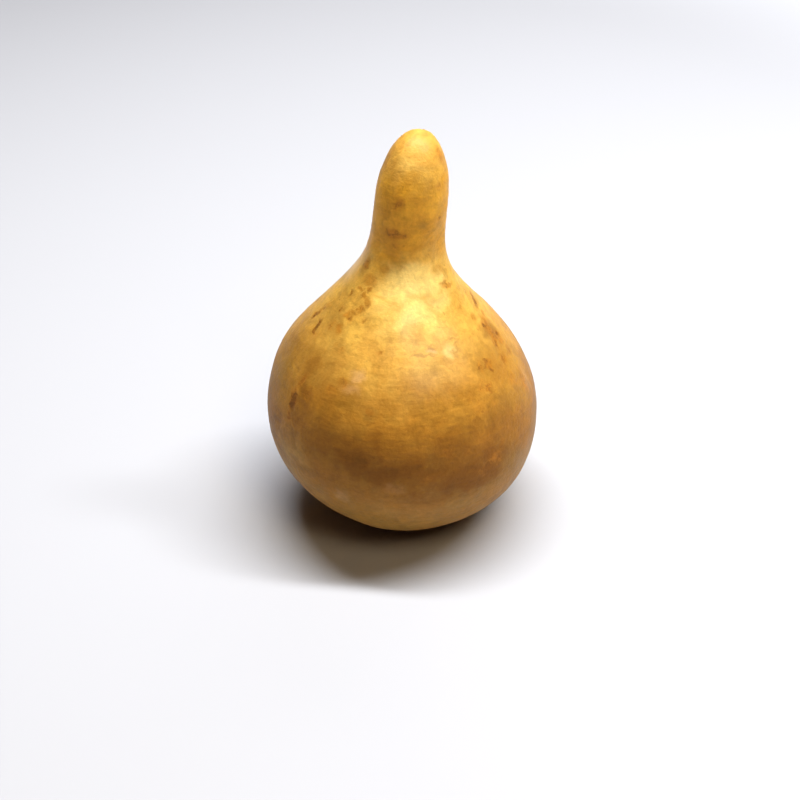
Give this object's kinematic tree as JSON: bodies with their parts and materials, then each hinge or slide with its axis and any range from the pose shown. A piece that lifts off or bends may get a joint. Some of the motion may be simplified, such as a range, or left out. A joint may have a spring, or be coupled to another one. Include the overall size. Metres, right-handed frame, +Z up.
{
  "type": "dried bottle gourd",
  "caption": "Small dried bottle gourd: a round belly rising through a sloping shoulder into a short blunt neck, standing on a small flat spot.",
  "frame": {"origin": "centre of the flat spot under the belly that the gourd rests on", "axes": "+Z up through the neck; -Y is the side seen in front, and the end of the neck curls back towards +Y"},
  "size_m": [0.0336, 0.034, 0.0491],
  "materials": {
    "gourd_skin": "smooth dry woody rind with a soft waxy sheen, golden tan with cloudy brown blotches and small scars"
  },
  "bodies": {
    "root": {"gourd": "gourd_skin"}
  },
  "joints": []
}
